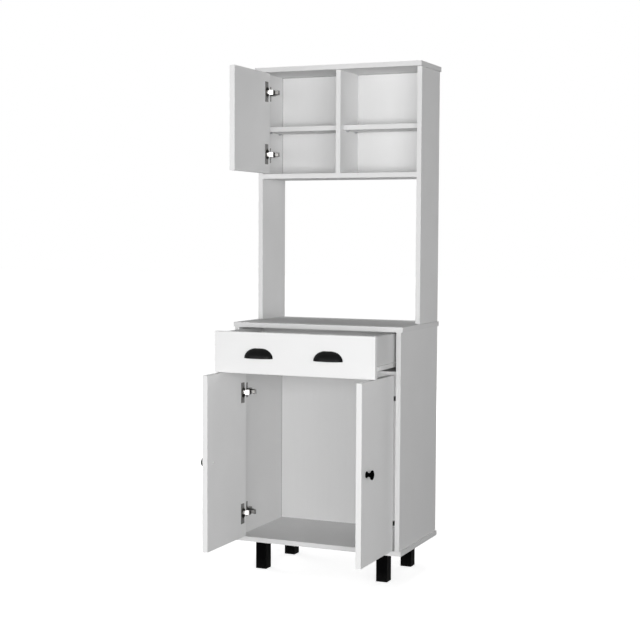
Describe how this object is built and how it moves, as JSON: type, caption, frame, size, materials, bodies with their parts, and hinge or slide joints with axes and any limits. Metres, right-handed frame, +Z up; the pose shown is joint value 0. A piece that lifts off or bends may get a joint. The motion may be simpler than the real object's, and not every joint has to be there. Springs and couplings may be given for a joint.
{
  "type": "microwave cabinet",
  "caption": "Tall freestanding kitchen unit: base cupboard with doors and a drawer, open microwave bay, and a partitioned hutch with a door.",
  "frame": {"origin": "on the floor, under the middle of the whole object's box as it rests, with the doors open square and the drawer pulled out", "axes": "+X to the right as seen from the front, +Y towards the back, +Z up"},
  "size_m": [0.6, 0.6334, 1.695],
  "materials": {
    "white_board": "satin white melamine on particle board",
    "white_front": "satin white melamine on particle board",
    "drawer_board": "satin white melamine on particle board",
    "back_board": "white lacquered hardboard",
    "black_leg": "matt black moulding",
    "pad_rubber": "matt",
    "beech": "fluted, unfinished",
    "black_handle": "satin black",
    "slide_enamel": "white epoxy coat",
    "nylon": "moulded nylon",
    "nickel": "nickel plated",
    "zinc": "zinc plated"
  },
  "bodies": {
    "cabinet": {"worktop": "white_board", "base_left_side": "white_board", "base_right_side": "white_board", "base_bottom": "white_board", "base_divider": "white_board", "base_back": "back_board", "front_left_leg": "black_leg", "front_right_leg": "black_leg", "rear_left_leg": "black_leg", "rear_right_leg": "black_leg", "leg_pads": "pad_rubber", "leg_bolts": "zinc", "hutch_left_side": "white_board", "hutch_right_side": "white_board", "hutch_top": "white_board", "hutch_floor": "white_board", "hutch_divider": "white_board", "hutch_left_shelf": "white_board", "hutch_right_shelf": "white_board", "hutch_back": "back_board", "shelf_pins": "zinc", "panel_dowels": "beech", "left_cabinet_slide": "slide_enamel", "right_cabinet_slide": "slide_enamel", "cabinet_slide_screws": "zinc", "hinge_arms": "nickel", "hinge_arm_pins": "zinc", "hinge_plates": "nickel", "hinge_plate_screws": "zinc"},
    "drawer": {"drawer_front": "white_front", "drawer_left_side": "drawer_board", "drawer_right_side": "drawer_board", "drawer_back": "drawer_board", "drawer_bottom": "back_board", "left_cup_pull": "black_handle", "right_cup_pull": "black_handle", "pull_screws": "zinc", "drawer_fasteners": "zinc", "left_drawer_slide": "slide_enamel", "right_drawer_slide": "slide_enamel", "drawer_slide_screws": "zinc"},
    "cabinet_rollers": {"front_rollers": "nylon"},
    "drawer_rollers": {"rear_rollers": "nylon"},
    "lower_left_link_set": {"lower_left_links": "nickel"},
    "lower_left_leaf": {"lower_left_door": "white_front", "lower_left_knob": "black_handle", "lower_left_cups": "nickel", "lower_left_cup_pins": "zinc", "lower_left_door_screws": "zinc"},
    "lower_right_link_set": {"lower_right_links": "nickel"},
    "lower_right_leaf": {"lower_right_door": "white_front", "lower_right_knob": "black_handle", "lower_right_cups": "nickel", "lower_right_cup_pins": "zinc", "lower_right_door_screws": "zinc"},
    "upper_link_set": {"upper_links": "nickel"},
    "upper_leaf": {"upper_door": "white_front", "upper_cups": "nickel", "upper_cup_pins": "zinc", "upper_door_screws": "zinc"}
  },
  "joints": [
    {"name": "drawer_slide", "type": "slide", "parent": "cabinet", "child": "drawer", "axis": [0, -1, 0], "range_m": [-0.179, 0.05]},
    {"name": "cabinet_rollers_turn", "type": "hinge", "parent": "cabinet", "child": "cabinet_rollers", "pos_m": [0, -0.01133, 0.7163], "axis": [1, 0, 0], "range_deg": [-1720, 490]},
    {"name": "drawer_rollers_turn", "type": "hinge", "parent": "drawer", "child": "drawer_rollers", "pos_m": [0, 0.08567, 0.7158], "axis": [1, 0, 0], "range_deg": [-1720, 490]},
    {"name": "lower_left_link_turn", "type": "hinge", "parent": "cabinet", "child": "lower_left_link_set", "pos_m": [-0.229, -0.02183, 0.401], "axis": [0, 0, -1], "range_deg": [-5.2, 30.7]},
    {"name": "lower_left_door_swing", "type": "hinge", "parent": "lower_left_link_set", "child": "lower_left_leaf", "pos_m": [-0.25861, -0.04957, 0.401], "axis": [0, 0, -1], "range_deg": [-120.6, 20.1]},
    {"name": "lower_right_link_turn", "type": "hinge", "parent": "cabinet", "child": "lower_right_link_set", "pos_m": [0.229, -0.02183, 0.401], "axis": [0, 0, 1], "range_deg": [-5.2, 30.7]},
    {"name": "lower_right_door_swing", "type": "hinge", "parent": "lower_right_link_set", "child": "lower_right_leaf", "pos_m": [0.25861, -0.04957, 0.401], "axis": [0, 0, 1], "range_deg": [-120.6, 20.1]},
    {"name": "upper_link_turn", "type": "hinge", "parent": "cabinet", "child": "upper_link_set", "pos_m": [-0.229, 0.15617, 1.5075], "axis": [0, 0, -1], "range_deg": [-5.2, 30.7]},
    {"name": "upper_door_swing", "type": "hinge", "parent": "upper_link_set", "child": "upper_leaf", "pos_m": [-0.25861, 0.12843, 1.5075], "axis": [0, 0, -1], "range_deg": [-120.6, 20.1]}
  ],
  "couplings": [
    {"joint": "cabinet_rollers_turn", "follows": "drawer_slide", "rad_per_m": 166.67},
    {"joint": "drawer_rollers_turn", "follows": "drawer_slide", "rad_per_m": 166.67},
    {"joint": "lower_left_link_turn", "follows": "lower_left_door_swing", "ratio": -0.25373},
    {"joint": "lower_right_link_turn", "follows": "lower_right_door_swing", "ratio": -0.25373},
    {"joint": "upper_link_turn", "follows": "upper_door_swing", "ratio": -0.25373}
  ]
}
